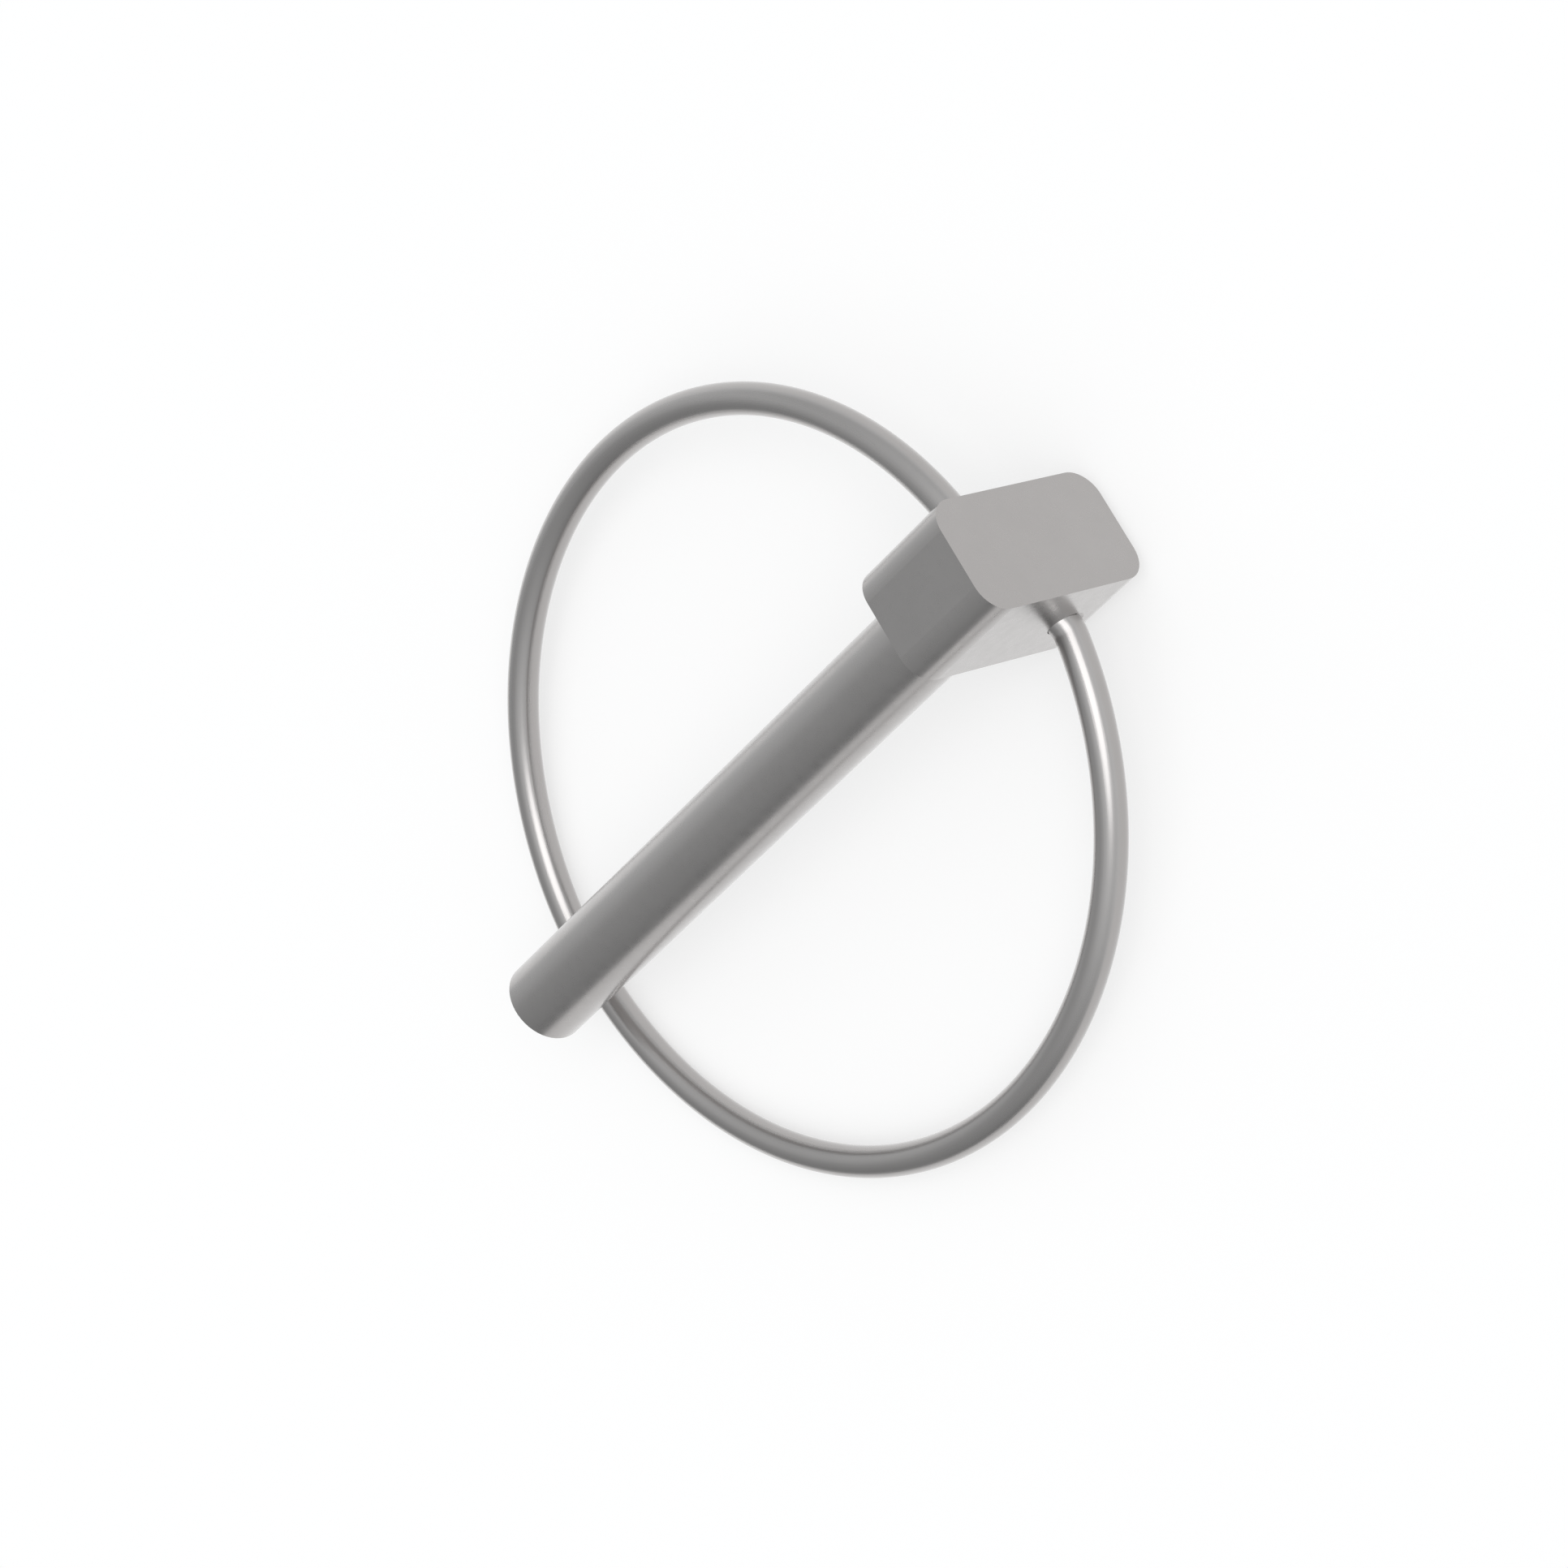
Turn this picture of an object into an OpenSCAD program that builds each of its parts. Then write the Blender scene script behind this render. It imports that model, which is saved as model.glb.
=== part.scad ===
// Lynch pin: a forged pin with a blocky head, and a sprung wire ring that swings on the head
// and reaches just past the pin's tip. The part lies as it comes to rest, ring side down,
// on the foot of its head and the far side of its ring.

/* [Shank] */
// Diameter of the shank, the size a lynch pin is known by
shank_d = 6; // [5:0.1:7]
// Length of the shank below the head
shank_len = 48.2; // [44:0.1:56]
// Edge break round the tip
tip_break = 0.15; // [0.05:0.05:0.5]

/* [Head] */
// Size of the head along the shank
head_len = 8.3; // [8:0.1:10]
// Width of the head between the two sides that the ring enters
head_w = 8.2; // [7.5:0.1:10]
// Height of the head, from its foot up to the side that the shank is flush with
head_h = 15.3; // [14:0.1:18]
// Radius on the four long edges of the head
head_edge_r = 2; // [1:0.1:2.8]
// How far the shank stands in from the two sides of the head that it follows
shank_inset = 0.05; // [0.02:0.01:0.5]

/* [Ring] */
// Diameter of the wire
wire_d = 2.25; // [1.75:0.05:2.6]
// How far the middle of the wire passes the tip of the shank
ring_past_tip = 0.55; // [0.4:0.05:3]
// Height of the ring's middle plane above the foot of the head
ring_h = 6.05; // [5.5:0.05:7]
// How far one turn of the wire climbs, which steps its two ends apart along the head
ring_pitch = 4; // [3.5:0.1:5]
// Radius of the bend where the wire turns into the head
bend_r = 2.2; // [2:0.1:3]
// How far outside the head the middle of that bend lies
bend_out = 0.35; // [0.25:0.05:0.8]

/* [Cross bore] */
// Distance of the bore from the end face of the head
bore_x = 4.6; // [4.2:0.1:5.2]
// Radial running clearance of the wire in the bore
bore_gap = 0.05; // [0.02:0.01:0.1]
// Gap between the two ends of the wire, inside the head
end_gap = 1; // [0.5:0.1:2]
// Angle by which the mouths of the bore open more widely than the wire's bend
mouth_ease = 4; // [2:1:10]

/* [Hidden] */
$fn = 96;
wire_r = wire_d / 2;
shank_r = shank_d / 2;
shank_y = head_w / 2 - shank_inset - shank_r;
shank_z = head_h - shank_inset - shank_r;
tip_x = head_len + shank_len;

// The ring is one turn of a helix round an axis that stands up from its middle plane.
// Angles count from its far point, past the tip; the wire enters the head at +-end_turn.
far_x = tip_x + ring_past_tip;
bend_y = head_w / 2 + bend_out;
ring_r = ((far_x - bore_x)^2 + bend_y^2) / (2 * (far_x - bore_x));
ring_x = far_x - ring_r;
end_turn = 180 - asin(bend_y / ring_r);
climb = atan(ring_pitch / (2 * PI * ring_r));
curve_r = ring_r / cos(climb)^2;

function ring_point(turn) =
    [ring_x + ring_r * cos(turn), ring_r * sin(turn), -ring_pitch * turn / 360];
function ring_along(turn) = [-sin(turn) * cos(climb), cos(turn) * cos(climb), -sin(climb)];
function ring_out(turn) = [cos(turn), sin(turn), 0];

// The bore runs straight through both bends, so it slants along the head.
bend_point = ring_point(end_turn);
bore_slant = atan(-bend_point.z / bend_y);
bore_in = [0, -cos(bore_slant), sin(bore_slant)];
bore_r = wire_r + bore_gap;
bend_angle = acos(ring_along(end_turn) * bore_in);
bend_reach = bend_r * tan(bend_angle / 2);
end_len = bend_y / cos(bore_slant) - bend_reach - end_gap / 2;
ring_end_turn = end_turn - bend_reach / ring_r * 180 / PI;

// The wire is built from arcs that take turns at full size and a hair under it.
// The thinner ones run a little way into their neighbours.
wire_sections = 13;
wire_hair = 0.01;
wire_lap = 0.1;
section_turn = 2 * ring_end_turn / wire_sections;

// At rest the foot of the head and the lowest stretch of the ring are on the ground, which leans
// the pin. As the wire climbs, the lowest stretch is found by a few steps, each from the one before.
function lean_on(turn) =
    let (touch = [ring_point(turn).x - head_len, ring_h + ring_point(turn).z])
    atan2(touch.y, touch.x) - asin(wire_r / norm(touch));
function lowest_turn(turn, steps) =
    steps == 0 ? turn : lowest_turn(asin(tan(climb) / tan(lean_on(turn))), steps - 1);
rest_lean = lean_on(lowest_turn(0, 12));
rest_reach = max(far_x * cos(rest_lean) + ring_h * sin(rest_lean) + wire_r,
                 tip_x * cos(rest_lean) + (shank_z + shank_r) * sin(rest_lean));

// From the pin's own frame (X down the shank, Z up from the foot of the head) to how it lies.
module at_rest() {
    translate([-rest_reach / 2, 0, head_len * sin(rest_lean)]) rotate([0, rest_lean, 0]) children();
}

// Places a child so that its Y runs along the wire and its X points outward, square to that.
module along_wire(point, along, outward) {
    y = along / norm(along);
    flat = outward - (outward * y) * y;
    x = flat / norm(flat);
    z = cross(x, y);
    multmatrix([[x.x, y.x, z.x, point.x],
                [x.y, y.y, z.y, point.y],
                [x.z, y.z, z.z, point.z]]) children();
}

// A bent length of wire whose middle is at the origin, running along Y and curving away from X.
// A thin one runs a little way into its neighbours at both ends.
module bent_wire(radius, angle, thin) {
    lapped = angle + thin * 2 * wire_lap / radius * 180 / PI;
    translate([-radius, 0, 0]) rotate([0, 0, -lapped / 2])
        rotate_extrude(angle = lapped) translate([radius, 0]) circle(wire_r - thin * wire_hair);
}

module head_outline() {
    translate([-head_h, -head_w / 2 + head_edge_r]) square([head_h, head_w - 2 * head_edge_r]);
    translate([-head_h + head_edge_r, -head_w / 2]) square([head_h - 2 * head_edge_r, head_w]);
    for (x = [head_edge_r - head_h, -head_edge_r], y = [-1, 1] * (head_w / 2 - head_edge_r))
        translate([x, y]) circle(head_edge_r);
}

module shank() {
    translate([head_len, shank_y, shank_z]) rotate([0, 90, 0]) {
        cylinder(h = shank_len - tip_break, r = shank_r);
        translate([0, 0, shank_len - tip_break])
            cylinder(h = tip_break, r1 = shank_r, r2 = shank_r - tip_break);
    }
}

// The bore, with each mouth opened just enough for the wire's bend to swing in it.
module cross_bore() {
    bend_at = bend_y / cos(bore_slant);
    mouth_angle = bend_angle + mouth_ease;
    translate([bore_x, 0, ring_h]) for (turn = [0, 180]) rotate([turn, 0, 0])
        rotate([-90 - bore_slant, 0, 0]) {
            cylinder(h = bend_at + head_w, r = bore_r);
            translate([0, 0, bend_at - bend_reach / 2])
                cylinder(h = head_w, r1 = bore_r, r2 = bore_r + head_w * tan(mouth_angle));
        }
}

module pin() color([0.72, 0.72, 0.71]) at_rest() {
    difference() {
        rotate([0, 90, 0]) linear_extrude(head_len) head_outline();
        cross_bore();
    }
    shank();
}

// One end of the wire: the bend at the head, then the straight length that turns in the bore.
module wire_end() {
    along = ring_along(end_turn);
    outward = (along - bore_in) / norm(along - bore_in);
    middle = bend_point - outward * bend_r * (1 / cos(bend_angle / 2) - 1);
    along_wire(middle, along + bore_in, outward) bent_wire(bend_r, bend_angle, 1);
    along_wire(bend_point + bore_in * bend_reach, bore_in, outward)
        rotate([-90, 0, 0]) cylinder(h = end_len, r = wire_r);
}

module spring_ring() color([0.75, 0.75, 0.74]) at_rest() translate([0, 0, ring_h]) {
    for (i = [0 : wire_sections - 1]) {
        turn = (i + 0.5) * section_turn - ring_end_turn;
        along_wire(ring_point(turn), ring_along(turn), ring_out(turn))
            bent_wire(curve_r, section_turn, i % 2);
    }
    for (side = [0, 180]) rotate([side, 0, 0]) wire_end();
}

pin();
spring_ring();
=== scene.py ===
import math

import bmesh
import bpy
from mathutils import Matrix, Vector


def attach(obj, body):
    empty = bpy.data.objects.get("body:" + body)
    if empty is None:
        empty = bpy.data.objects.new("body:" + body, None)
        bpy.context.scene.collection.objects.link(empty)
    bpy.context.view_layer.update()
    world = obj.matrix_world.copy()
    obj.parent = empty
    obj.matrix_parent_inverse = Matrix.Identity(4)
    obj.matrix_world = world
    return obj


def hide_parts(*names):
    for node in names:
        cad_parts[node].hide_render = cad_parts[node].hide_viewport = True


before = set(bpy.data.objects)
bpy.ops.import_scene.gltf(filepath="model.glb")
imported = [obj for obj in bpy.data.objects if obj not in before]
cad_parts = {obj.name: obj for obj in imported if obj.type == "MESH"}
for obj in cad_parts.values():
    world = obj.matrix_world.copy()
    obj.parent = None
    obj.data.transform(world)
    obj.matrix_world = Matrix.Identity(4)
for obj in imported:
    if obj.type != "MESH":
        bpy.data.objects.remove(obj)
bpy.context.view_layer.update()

MM = 0.001

# Camera: where it stands round the part, as on the reference picture. All azimuths count from +X
# towards +Y, and elevations up from the ground.
CAMERA_AIM = Vector((-0.298, 0.681, 7.537)) * MM
CAMERA_DISTANCE = 296.93 * MM
CAMERA_AZIMUTH = math.radians(157.334)
CAMERA_ELEVATION = math.radians(49.272)
CAMERA_ROLL = math.radians(102.557)
CAMERA_LENS_MM = 102.37
CAMERA_SENSOR_MM = 36
CAMERA_NEAR = 0.01
CAMERA_FAR = 20

# Lamps: a soft key over the camera's shoulder, and a weak fill for the floor, which the steel
# doesn't mirror
KEY_AZIMUTH = math.radians(162)
KEY_ELEVATION = math.radians(56)
KEY_ANGLE = math.radians(46)
KEY_STRENGTH = 0.86
FILL_AZIMUTH = math.radians(40)
FILL_ELEVATION = math.radians(60)
FILL_ANGLE = math.radians(50)
FILL_STRENGTH = 0.25

# The room, which is what the steel mirrors: bright behind the camera and dim beyond the part. It
# goes from dim to bright between these two cosines of the angle from its bright side.
ROOM_COLOUR = (0.98, 1, 1.01, 1)
ROOM_BRIGHT_SIDE = math.radians(-160)
ROOM_BRIGHT = 0.66
ROOM_DIM = 0.365
ROOM_TURN = (-0.95, -0.2)

# From this elevation down to the horizon it brightens to the floor's white. That fades out towards
# its dim side, between these two cosines.
BACKDROP = 1
BACKDROP_TOP = math.radians(24)
BACKDROP_TURN = (-0.45, 0)

# It glows round the key, and has a pale window and a dark corner beyond the part, each with an
# azimuth, an elevation, a reach and a strength
GLOW_REACH = math.radians(75)
GLOW = 0.28
WINDOW = (math.radians(-45), math.radians(17), math.radians(32), 0.135)
CORNER = (math.radians(50), math.radians(5), math.radians(25), -0.085)

# The floor: the camera sees this share of it as plain white and the rest lit, so that it takes
# the part's shadow. Reflections see it all white.
FLOOR_SIZE = 6
FLOOR_COLOUR = (0.955, 0.948, 0.945, 1)
FLOOR_WHITE = 0.6

# Steel: mottled between two tones, with satin patches and a fine grain, under a thin clear gloss.
# On drawn wire the grain is drawn out along the wire.
STEEL_TONES = ((0.383, 0.368, 0.361, 1), (0.417, 0.401, 0.394, 1))
MOTTLE = {"Scale": 260, "Detail": 4, "Roughness": 0.6}
SATIN = {"Scale": 1400, "Detail": 3}
SATIN_NOISE = (0.25, 0.75)
SATIN_ROUGHNESS = (0.25, 0.33)
GRAIN = {"Scale": 9000, "Detail": 2}
FORGED_GRAIN_DEPTH = 0.0012 * MM
DRAWN_GRAIN_DEPTH = 0.005 * MM
DRAWN_SCALE = (0.03, 1, 1)
GLOSS_IOR = 1.5
GLOSS_ROUGHNESS = 0.25

# Sizes of the part, in millimetres, as in the solid model; the pin's own frame has X down the
# shank from the end face of the head and Z up from the head's foot
HEAD_LEN = 8.3
HEAD_W = 8.2
TIP_X = HEAD_LEN + 48.2
WIRE_R = 1.125
RING_H = 6.05
RING_PITCH = 4
FAR_X = TIP_X + 0.55
BORE_X = 4.6
BEND_Y = HEAD_W / 2 + 0.35
BEND_R = 2.2
END_GAP = 1
RING_R = ((FAR_X - BORE_X) ** 2 + BEND_Y ** 2) / (2 * (FAR_X - BORE_X))
CLIMB = math.atan(RING_PITCH / (2 * math.pi * RING_R))

# Steps in which the ring's lowest stretch is found
LEAN_STEPS = 12

# How finely the wire's mesh is cut
WIRE_SIDES = 64
RING_STEPS = 330
BEND_STEPS = 12
END_STEPS = 4


def direction(azimuth, elevation):
    return Vector((math.cos(azimuth) * math.cos(elevation),
                   math.sin(azimuth) * math.cos(elevation),
                   math.sin(elevation)))


def make_camera():
    data = bpy.data.cameras.new("camera")
    data.lens = CAMERA_LENS_MM
    data.sensor_width = CAMERA_SENSOR_MM
    data.clip_start = CAMERA_NEAR
    data.clip_end = CAMERA_FAR
    camera = bpy.data.objects.new("camera", data)
    bpy.context.scene.collection.objects.link(camera)
    bpy.context.scene.camera = camera
    back = direction(CAMERA_AZIMUTH, CAMERA_ELEVATION)
    upright = (-back).to_track_quat("-Z", "Y").to_matrix()
    camera.matrix_world = (Matrix.Translation(CAMERA_AIM + back * CAMERA_DISTANCE)
                           @ (upright @ Matrix.Rotation(-CAMERA_ROLL, 3, "Z")).to_4x4())


# ---- the wire ----

def ring_point(turn):
    return Vector((FAR_X - RING_R + RING_R * math.cos(turn), RING_R * math.sin(turn),
                   -RING_PITCH * turn / (2 * math.pi)))


def ring_along(turn):
    return Vector((-math.sin(turn) * math.cos(CLIMB), math.cos(turn) * math.cos(CLIMB),
                   -math.sin(CLIMB)))


def at_rest():
    """From the pin's own frame, in millimetres, to how the part lies, in metres."""
    def lean_on(turn):
        x = ring_point(turn).x - HEAD_LEN
        y = RING_H + ring_point(turn).z
        return math.atan2(y, x) - math.asin(WIRE_R / math.hypot(x, y))
    turn = 0
    for _ in range(LEAN_STEPS):
        turn = math.asin(math.tan(CLIMB) / math.tan(lean_on(turn)))
    lean = lean_on(turn)
    reach = FAR_X * math.cos(lean) + RING_H * math.sin(lean) + WIRE_R
    return (Matrix.Scale(MM, 4) @ Matrix.Translation((-reach / 2, 0, HEAD_LEN * math.sin(lean)))
            @ Matrix.Rotation(lean, 4, "Y"))


def wire_path():
    """Points along the middle of the wire from one end to the other, with their tangents."""
    end_turn = math.pi - math.asin(BEND_Y / RING_R)
    corner = ring_point(end_turn)
    slant = math.atan(-corner.z / BEND_Y)
    inward = Vector((0, -math.cos(slant), math.sin(slant)))
    bend_angle = ring_along(end_turn).angle(inward)
    bend_reach = BEND_R * math.tan(bend_angle / 2)
    last_turn = end_turn - bend_reach / RING_R
    start, along = ring_point(last_turn), ring_along(last_turn)
    stop = corner + inward * bend_reach
    end_len = BEND_Y / math.cos(slant) - bend_reach - END_GAP / 2

    # The bend is a cubic curve with the handles that keep closest to an arc
    handle = 4 / 3 * math.tan(bend_angle / 4) * BEND_R
    curve = [start, start + along * handle, stop - inward * handle, stop]
    half = []
    for i in range(1, BEND_STEPS + 1):
        t = i / BEND_STEPS
        weights = ((1 - t) ** 3, 3 * t * (1 - t) ** 2, 3 * t * t * (1 - t), t ** 3)
        point = sum((c * w for c, w in zip(curve, weights)), Vector())
        tangent = ((curve[1] - curve[0]) * (1 - t) ** 2 + (curve[2] - curve[1]) * 2 * t * (1 - t)
                   + (curve[3] - curve[2]) * t * t)
        half.append((point, tangent.normalized()))
    half += [(stop + inward * end_len * i / END_STEPS, inward) for i in range(1, END_STEPS + 1)]

    ring = []
    for i in range(RING_STEPS + 1):
        turn = last_turn * (2 * i / RING_STEPS - 1)
        ring.append((ring_point(turn), ring_along(turn)))

    # The other half is this one turned half round the X axis, and run the other way
    other = [(Vector((p.x, -p.y, -p.z)), Vector((-t.x, t.y, t.z))) for p, t in reversed(half)]
    return other + ring + half


def make_ring():
    """The wire's surface. Its "drawn" attribute holds the way along the wire, and across it."""
    place = at_rest() @ Matrix.Translation((0, 0, RING_H))
    mesh = bpy.data.meshes.new("ring_wire")
    bm = bmesh.new()
    drawn = bm.verts.layers.float_vector.new("drawn")
    path = wire_path()
    outward = Vector((1, 0, 0))
    run = 0
    loops = []
    for i, (point, tangent) in enumerate(path):
        outward = (outward - outward.dot(tangent) * tangent).normalized()
        side = tangent.cross(outward)
        run += (point - path[i - 1][0]).length if i else 0
        loop = []
        for j in range(WIRE_SIDES):
            angle = 2 * math.pi * j / WIRE_SIDES
            x, y = WIRE_R * math.cos(angle), WIRE_R * math.sin(angle)
            vert = bm.verts.new(place @ (point + outward * x + side * y))
            vert[drawn] = Vector((run, x, y)) * MM
            loop.append(vert)
        loops.append(loop)
    for one, two in zip(loops, loops[1:]):
        for j in range(WIRE_SIDES):
            k = (j + 1) % WIRE_SIDES
            bm.faces.new((one[j], one[k], two[k], two[j])).smooth = True
    for loop in (loops[0][::-1], loops[-1]):
        for edge in bm.faces.new(loop).edges:
            edge.smooth = False
    bmesh.ops.recalc_face_normals(bm, faces=bm.faces)
    bm.to_mesh(mesh)
    bm.free()
    ring = bpy.data.objects.new("ring_wire", mesh)
    bpy.context.scene.collection.objects.link(ring)
    ring.data.materials.append(steel("drawn_wire", "drawn"))
    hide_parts("spring_ring")
    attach(ring, "ring")


# ---- materials and light ----

def node(tree, kind, inputs=(), **values):
    made = tree.nodes.new(kind)
    for name, value in values.items():
        setattr(made, name, value)
    for socket, value in dict(inputs).items():
        if isinstance(value, bpy.types.NodeSocket):
            tree.links.new(value, made.inputs[socket])
        else:
            made.inputs[socket].default_value = value
    return made


def ramp(tree, value, between, to=(0, 1), kind="LINEAR"):
    """The value's way between two numbers, laid over two others and held at its ends."""
    return node(tree, "ShaderNodeMapRange",
                {"Value": value, "From Min": between[0], "From Max": between[1],
                 "To Min": to[0], "To Max": to[1]}, interpolation_type=kind).outputs["Result"]


def noise(tree, where, settings):
    return node(tree, "ShaderNodeTexNoise", {"Vector": where, **settings}).outputs["Fac"]


def maths(tree, operation, *values):
    return node(tree, "ShaderNodeMath", enumerate(values), operation=operation).outputs[0]


def steel(name, drawn=None):
    """Satin bright steel. Drawn wire has its grain along the attribute's first axis."""
    material = bpy.data.materials.new(name)
    material.use_nodes = True
    tree = material.node_tree
    shader = tree.nodes["Principled BSDF"]
    shader.inputs["Metallic"].default_value = 1
    shader.inputs["Coat Weight"].default_value = 1
    shader.inputs["Coat Roughness"].default_value = GLOSS_ROUGHNESS
    shader.inputs["Coat IOR"].default_value = GLOSS_IOR
    if drawn:
        where = node(tree, "ShaderNodeAttribute", attribute_name=drawn).outputs["Vector"]
        fine = node(tree, "ShaderNodeMapping", {"Vector": where, "Scale": DRAWN_SCALE}).outputs[0]
        depth = DRAWN_GRAIN_DEPTH
    else:
        where = fine = node(tree, "ShaderNodeTexCoord").outputs["Object"]
        depth = FORGED_GRAIN_DEPTH

    tint = node(tree, "ShaderNodeMix", {"Factor": noise(tree, where, MOTTLE), "A": STEEL_TONES[0],
                                        "B": STEEL_TONES[1]}, data_type="RGBA")
    tree.links.new(tint.outputs["Result"], shader.inputs["Base Color"])

    rough = ramp(tree, noise(tree, fine, SATIN), SATIN_NOISE, SATIN_ROUGHNESS)
    tree.links.new(rough, shader.inputs["Roughness"])

    bump = node(tree, "ShaderNodeBump", {"Height": noise(tree, fine, GRAIN), "Distance": depth,
                                         "Strength": 1})
    tree.links.new(bump.outputs["Normal"], shader.inputs["Normal"])
    return material


def make_floor():
    bpy.ops.mesh.primitive_plane_add(size=FLOOR_SIZE)
    floor = bpy.context.object
    floor.name = "floor"
    material = bpy.data.materials.new("floor")
    material.use_nodes = True
    tree = material.node_tree
    shader = tree.nodes["Principled BSDF"]
    shader.inputs["Base Color"].default_value = FLOOR_COLOUR
    shader.inputs["Roughness"].default_value = 1
    shader.inputs["Specular IOR Level"].default_value = 0
    rays = node(tree, "ShaderNodeLightPath").outputs
    mirrored = maths(tree, "MAXIMUM", rays["Is Glossy Ray"], rays["Is Transmission Ray"])
    share = maths(tree, "MULTIPLY_ADD", rays["Is Camera Ray"], FLOOR_WHITE, mirrored)
    white = node(tree, "ShaderNodeEmission", {"Color": (1, 1, 1, 1), "Strength": 1})
    mix = node(tree, "ShaderNodeMixShader", {0: share, 1: shader.outputs[0],
                                             2: white.outputs[0]})
    tree.links.new(mix.outputs[0], tree.nodes["Material Output"].inputs["Surface"])
    floor.data.materials.append(material)


def make_lamp(name, azimuth, elevation, angle, strength):
    data = bpy.data.lights.new(name, "SUN")
    data.energy = strength
    data.angle = angle
    lamp = bpy.data.objects.new(name, data)
    bpy.context.scene.collection.objects.link(lamp)
    lamp.rotation_mode = "QUATERNION"
    lamp.rotation_quaternion = direction(azimuth, elevation).to_track_quat("Z", "Y")
    return lamp


def make_world():
    world = bpy.data.worlds.new("studio")
    bpy.context.scene.world = world
    world.use_nodes = True
    tree = world.node_tree
    where = node(tree, "ShaderNodeTexCoord").outputs["Generated"]

    def facing(azimuth, elevation):
        """The cosine of the angle from this direction."""
        return node(tree, "ShaderNodeVectorMath", {0: where, 1: direction(azimuth, elevation)},
                    operation="DOT_PRODUCT").outputs["Value"]

    toward = facing(ROOM_BRIGHT_SIDE, 0)
    room = ramp(tree, ramp(tree, toward, ROOM_TURN), (0, 1), (ROOM_DIM, ROOM_BRIGHT))
    height = node(tree, "ShaderNodeSeparateXYZ", {"Vector": where}).outputs["Z"]
    low = ramp(tree, height, (math.sin(BACKDROP_TOP), 0), kind="SMOOTHSTEP")
    backdrop = maths(tree, "MULTIPLY", low, ramp(tree, toward, BACKDROP_TURN))
    level = node(tree, "ShaderNodeMix", {"Factor": backdrop, "A": room, "B": BACKDROP})
    glow = ramp(tree, facing(KEY_AZIMUTH, KEY_ELEVATION), (math.cos(GLOW_REACH), 1), (0, GLOW),
                kind="SMOOTHSTEP")
    light = maths(tree, "ADD", level.outputs["Result"], glow)
    for azimuth, elevation, reach, strength in (WINDOW, CORNER):
        patch = ramp(tree, facing(azimuth, elevation), (math.cos(reach), 1), (0, strength))
        light = maths(tree, "ADD", light, patch)
    tree.links.new(light, tree.nodes["Background"].inputs["Strength"])
    tree.nodes["Background"].inputs["Color"].default_value = ROOM_COLOUR


make_camera()
make_floor()
make_world()
make_lamp("key", KEY_AZIMUTH, KEY_ELEVATION, KEY_ANGLE, KEY_STRENGTH)
fill = make_lamp("fill", FILL_AZIMUTH, FILL_ELEVATION, FILL_ANGLE, FILL_STRENGTH)
fill.visible_glossy = False
make_ring()
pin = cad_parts["pin"]
pin.data.materials.clear()
pin.data.materials.append(steel("forged_steel"))

bpy.context.scene.view_settings.view_transform = "Standard"
